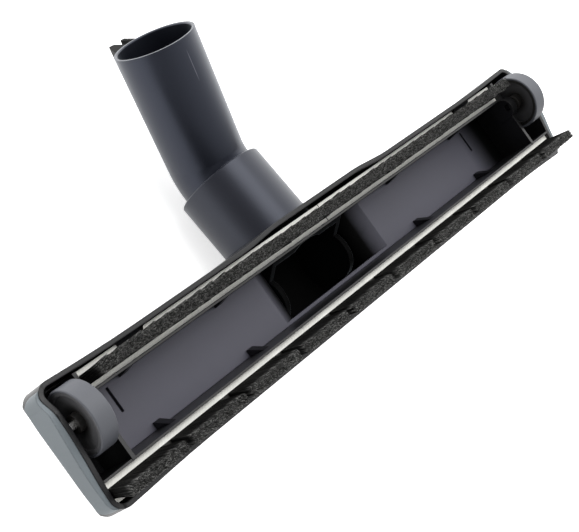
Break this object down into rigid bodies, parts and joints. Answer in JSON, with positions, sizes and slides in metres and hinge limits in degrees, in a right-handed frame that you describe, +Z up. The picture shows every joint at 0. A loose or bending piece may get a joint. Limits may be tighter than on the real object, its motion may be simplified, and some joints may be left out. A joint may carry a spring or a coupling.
{
  "type": "vacuum floor brush head",
  "caption": "Wide vacuum floor head lying sole up, with front and rear bristle strips, a wheel at each end and a tilting, swivelling neck.",
  "frame": {"origin": "On the table under the middle of the whole head and neck, midway between the front of the housing and the tube's mouth.", "axes": "+X along the head's length, +Y to the rear where the neck leaves, +Z up from the table, the way the sole faces."},
  "size_m": [0.3048, 0.1478, 0.0737],
  "materials": {
    "housing_plastic": "fine satin moulding texture",
    "sole_plastic": "smooth satin",
    "duct_plastic": "smooth satin",
    "bumper_rubber": "soft matte",
    "strip_plastic": "fine hatched, matte",
    "bristle_fibre": "dense crimped fibres",
    "tread_rubber": "soft matte tread",
    "wheel_plastic": "satin",
    "axle_steel": "bright turned",
    "neck_plastic": "fine satin moulding texture",
    "tube_plastic": "fine satin moulding texture",
    "ring_plastic": "smooth",
    "hook_plastic": "satin"
  },
  "bodies": {
    "neck": {"neck_knuckle": "neck_plastic"},
    "head": {"top_shell": "housing_plastic", "sole_frame": "sole_plastic", "duct_plate": "duct_plastic", "bumper_near": "bumper_rubber", "bumper_far": "bumper_rubber", "brush_base_front": "strip_plastic", "brush_base_rear": "strip_plastic", "bristles_front": "bristle_fibre", "bristles_rear": "bristle_fibre", "near_axle": "axle_steel", "far_axle": "axle_steel", "bearing_cap_near": "sole_plastic", "bearing_cap_far": "sole_plastic", "cap_screws": "axle_steel"},
    "tube": {"swivel_tube": "tube_plastic", "swivel_ring": "ring_plastic", "park_hook": "hook_plastic"},
    "wheel_near": {"near_tyre": "tread_rubber", "near_hub": "wheel_plastic"},
    "wheel_far": {"far_tyre": "tread_rubber", "far_hub": "wheel_plastic"}
  },
  "joints": [
    {"name": "neck_tilt", "type": "hinge", "parent": "neck", "child": "head", "pos_m": [0, -0.04917, 0.0246], "axis": [1, 0, 0], "range_deg": [0, 55]},
    {"name": "neck_swivel", "type": "hinge", "parent": "neck", "child": "tube", "pos_m": [0, -0.00651, 0.02097], "axis": [0, 0.992, -0.1262], "continuous": true},
    {"name": "wheel_near_spin", "type": "hinge", "parent": "head", "child": "wheel_near", "pos_m": [-0.14145, -0.04251, 0.0612], "axis": [1, 0, 0], "continuous": true},
    {"name": "wheel_far_spin", "type": "hinge", "parent": "head", "child": "wheel_far", "pos_m": [0.14145, -0.04251, 0.0612], "axis": [1, 0, 0], "continuous": true}
  ]
}
